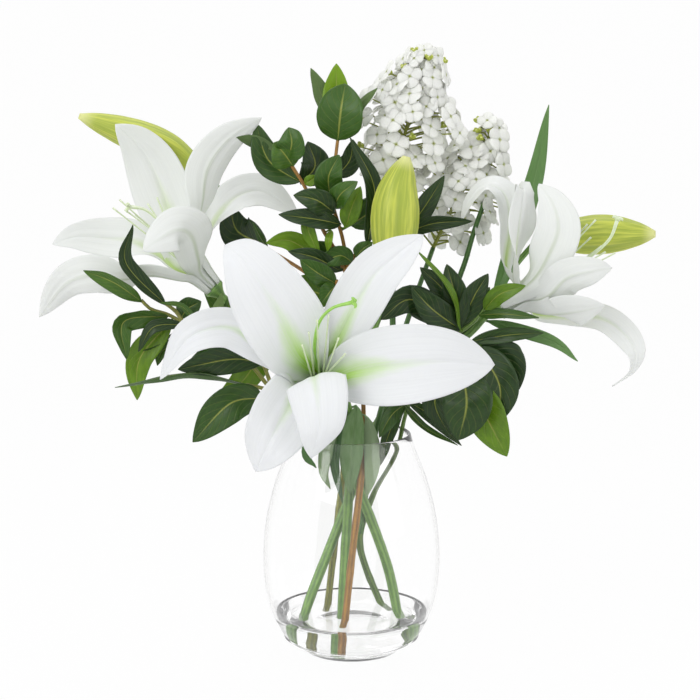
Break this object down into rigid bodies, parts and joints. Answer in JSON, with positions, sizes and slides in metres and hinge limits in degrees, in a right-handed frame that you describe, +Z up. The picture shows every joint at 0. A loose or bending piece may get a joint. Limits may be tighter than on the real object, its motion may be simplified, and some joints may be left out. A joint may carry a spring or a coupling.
{
  "type": "lilies in a vase",
  "caption": "Arrangement of open white lilies with buds, white lilac and glossy leaf sprays standing in a clear tear-drop glass vase with clear set water.",
  "frame": {"origin": "centre of the vase's underside", "axes": "+Z up, -Y towards the viewer, the front bloom faces -Y"},
  "size_m": [0.4123, 0.1853, 0.4084],
  "materials": {
    "vase_glass": "clear polished glass",
    "set_water": "clear cast resin that looks like still water",
    "lily_flower": "matt white petals with green midribs",
    "glossy_foliage": "satin green leaves on brown twigs",
    "lilac_flower": "matt white florets on green stems"
  },
  "bodies": {
    "root": {"vase": "vase_glass", "water": "set_water", "front_lily": "lily_flower", "left_lily": "lily_flower", "right_lily": "lily_flower", "upper_greenery": "glossy_foliage", "left_greenery": "glossy_foliage", "right_greenery": "glossy_foliage", "lilac_spray": "lilac_flower"}
  },
  "joints": []
}
